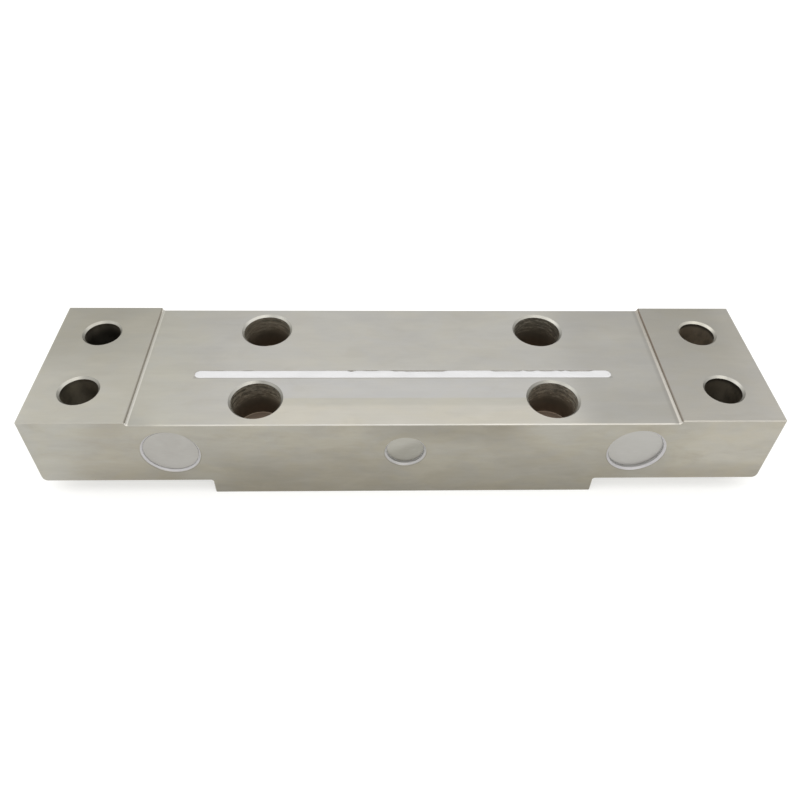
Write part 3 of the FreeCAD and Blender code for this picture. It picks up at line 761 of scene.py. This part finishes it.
def slot_sealant():
    """White bead in the wiring slot: round ends, low crown, and a far edge that stops short in places."""
    low, high = (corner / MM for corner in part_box("wiring_slot_sealant"))
    rim_z = DECK_Z - BEAD_SINK
    clear_selection()
    bpy.ops.mesh.primitive_cube_add(
        size=1, location=(0, SLOT_Y * MM, (low.z + rim_z) / 2 * MM),
        scale=((high.x - low.x) * MM, 2 * SLOT_R * MM, (rim_z - low.z) * MM),
    )
    bead = begin("slot_sealant")
    pick(bead, "edges", lambda a, b: abs(a.z - b.z) > 1.0)
    bpy.ops.mesh.bevel(offset=(SLOT_R - 0.01) * MM, segments=BEAD_END_STEPS, affect="EDGES")
    for x in range(-BEAD_CUT_X, BEAD_CUT_X + 1, BEAD_CUT_STEP):
        pick_all(bead)
        bpy.ops.mesh.bisect(plane_co=(x * MM, 0, 0), plane_no=(1, 0, 0))
    pick_all(bead)
    bpy.ops.mesh.bisect(plane_co=(0, 0, (rim_z - BEAD_LIP) * MM), plane_no=(0, 0, 1))
    pick(bead, "faces", lambda centre, normal: normal.z > 0.9)
    inset(*BEAD_EDGE)
    inset(*BEAD_CROWN)
    far_edge = SLOT_Y + SLOT_R - 0.4
    for start, end, short in SHORT_STRETCHES:
        pick(bead, "points", lambda p: start < p.x < end and p.y > far_edge and p.z > rim_z - 0.05)
        bpy.ops.transform.translate(value=(0, -short * MM, -0.5 * short * MM))
    finish_piece(bead, "white_sealant", "wiring_slot_sealant")


def cover_disc(name, node):
    """Stamped disc with a turned edge and a faint crown, on the front face."""
    low, high = (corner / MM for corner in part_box(node))
    radius = (high.x - low.x) / 2
    clear_selection()
    bpy.ops.mesh.primitive_cylinder_add(
        vertices=DISC_POINTS, radius=radius * MM, depth=(high.y - low.y) * MM,
        location=(low + high) / 2 * MM, rotation=(math.pi / 2, 0, 0),
    )
    disc = begin(name)
    pick(disc, "edges", lambda a, b: max(a.y, b.y) < low.y + 0.01)
    bpy.ops.mesh.bevel(offset=DISC_EDGE * MM, segments=DISC_EDGE_STEPS, affect="EDGES")
    pick(disc, "faces", lambda centre, normal: normal.y < -0.99)
    inset(DISC_FACE_RIM, 0.0)
    inset(0.5 * radius, DISC_CROWN)
    return disc


def copy_to(piece, name, node):
    """Copy of a front disc at the place of another cover, turned about for the rear face."""
    low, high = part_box(node)
    take(piece)
    bpy.ops.object.duplicate(linked=False)
    copy = bpy.context.object
    copy.name = name
    pick_all(copy)
    if low.y > 0:
        bpy.ops.transform.rotate(value=math.pi, orient_axis="Z", center_override=(0, 0, 0))
    object_mode()
    places = [vertex.co for vertex in copy.data.vertices]
    middle = [(min(p[axis] for p in places) + max(p[axis] for p in places)) / 2 for axis in range(3)]
    pick_all(copy)
    bpy.ops.transform.translate(value=(low + high) / 2 - Vector(middle))
    object_mode()
    return copy


slot_sealant()
gauge_disc = cover_disc("front_left_disc", "front_left_gauge_cover")
for place in ("front_right", "rear_left", "rear_right"):
    node = place + "_gauge_cover"
    finish_piece(copy_to(gauge_disc, place + "_disc", node), "cover_steel", node)
finish_piece(gauge_disc, "cover_steel", "front_left_gauge_cover")
centre_disc = cover_disc("front_centre_disc", "front_centre_cover")
finish_piece(centre_disc, "centre_cover_steel", "front_centre_cover")


# Stage, camera and light

def studio_floor():
    clear_selection()
    bpy.ops.mesh.primitive_grid_add(
        x_subdivisions=8, y_subdivisions=8, size=FLOOR_SIDE, location=(0, 0, -FLOOR_DROP * MM))
    floor = begin("studio_floor")
    floor.data.materials.append(pale_floor())


def studio_camera():
    pitch, yaw, roll = (math.radians(a) for a in (CAMERA_PITCH, CAMERA_YAW, CAMERA_ROLL))
    turn = Matrix.Rotation(yaw, 3, "Z")
    right = turn @ Vector((1, 0, 0))
    ahead = turn @ Vector((0, math.cos(pitch), -math.sin(pitch)))
    down = ahead.cross(right)
    tilted_right = math.cos(roll) * right + math.sin(roll) * down
    tilted_down = math.cos(roll) * down - math.sin(roll) * right
    data = bpy.data.cameras.new("studio_camera")
    data.sensor_width = SENSOR
    data.lens = CAMERA_FOCAL / PICTURE_SIDE * SENSOR
    data.clip_start = 0.01
    camera = bpy.data.objects.new("studio_camera", data)
    bpy.context.scene.collection.objects.link(camera)
    axes = Matrix((tilted_right, -tilted_down, -ahead)).transposed().to_4x4()
    camera.matrix_world = Matrix.Translation(Vector(CAMERA_PLACE) * MM) @ axes
    bpy.context.scene.camera = camera


def soft_box(name, place, width, height, radiance, colour):
    """Area light with an even face of the given brightness."""
    data = bpy.data.lights.new(name, "AREA")
    data.shape = "RECTANGLE"
    data.size = width
    data.size_y = height
    data.energy = radiance * math.pi * width * height
    data.color = colour
    light = bpy.data.objects.new(name, data)
    bpy.context.scene.collection.objects.link(light)
    light.location = place
    light.rotation_euler = (Vector(LIGHT_AIM) - Vector(place)).to_track_quat("-Z", "Y").to_euler()
    return light


def studio_sky():
    """Sky that is bright overhead, at both ends and on the left. The camera sees plain white instead."""
    world = bpy.data.worlds.new("studio_light")
    bpy.context.scene.world = world
    world.use_nodes = True
    tree = world.node_tree

    def ranged(value, limits, interpolation):
        node = tree.nodes.new("ShaderNodeMapRange")
        node.interpolation_type = interpolation
        tree.links.new(value, node.inputs["Value"])
        for socket, limit in zip(("From Min", "From Max", "To Min", "To Max"), limits):
            node.inputs[socket].default_value = limit
        return node.outputs["Result"]

    direction = tree.nodes.new("ShaderNodeTexCoord")
    split = tree.nodes.new("ShaderNodeSeparateXYZ")
    tree.links.new(direction.outputs["Generated"], split.inputs[0])
    ramp = tree.nodes.new("ShaderNodeValToRGB")
    tree.links.new(split.outputs["Z"], ramp.inputs[0])
    stops = ramp.color_ramp.elements
    stops[0].position, stops[1].position = SKY_LEVELS[0][0], SKY_LEVELS[-1][0]
    for height, _ in SKY_LEVELS[1:-1]:
        stops.new(height)
    for stop, (_, level) in zip(stops, SKY_LEVELS):
        stop.color = (level, level, SKY_BLUE * level, 1)
    sideways = tree.nodes.new("ShaderNodeMath")
    sideways.operation = "ABSOLUTE"
    tree.links.new(split.outputs["X"], sideways.inputs[0])
    strength = tree.nodes.new("ShaderNodeMath")
    strength.operation = "MULTIPLY"
    tree.links.new(ranged(split.outputs["X"], SKY_ACROSS, "LINEAR"), strength.inputs[0])
    tree.links.new(ranged(sideways.outputs[0], SKY_ENDS, "SMOOTHSTEP"), strength.inputs[1])
    sky = tree.nodes["Background"]
    tree.links.new(ramp.outputs[0], sky.inputs["Color"])
    tree.links.new(strength.outputs[0], sky.inputs["Strength"])
    backdrop = tree.nodes.new("ShaderNodeBackground")
    backdrop.inputs["Color"].default_value = (1.0, 1.0, 0.995, 1)
    seen = tree.nodes.new("ShaderNodeLightPath")
    choice = tree.nodes.new("ShaderNodeMixShader")
    tree.links.new(seen.outputs["Is Camera Ray"], choice.inputs[0])
    tree.links.new(sky.outputs[0], choice.inputs[1])
    tree.links.new(backdrop.outputs[0], choice.inputs[2])
    tree.links.new(choice.outputs[0], tree.nodes["World Output"].inputs["Surface"])


def studio_light():
    """Sky and two soft boxes. The metal does not mirror the one overhead, which would burn out the deck."""
    studio_sky()
    soft_box("front_box", (0.27, -1.0, 0.95), width=1.0, height=0.6, radiance=1.3,
             colour=(1.0, 0.975, 0.92))
    top_box = soft_box("top_box", (0.0, -0.25, 1.5), width=2.2, height=0.9, radiance=1.0,
                       colour=(1.0, 1.0, 0.99))
    top_box.visible_glossy = False


def show_settings():
    settings = bpy.context.scene.view_settings
    settings.view_transform = "Standard"
    settings.look = "None"
    settings.exposure = 0.0
    settings.gamma = 1.0


studio_floor()
studio_camera()
studio_light()
show_settings()
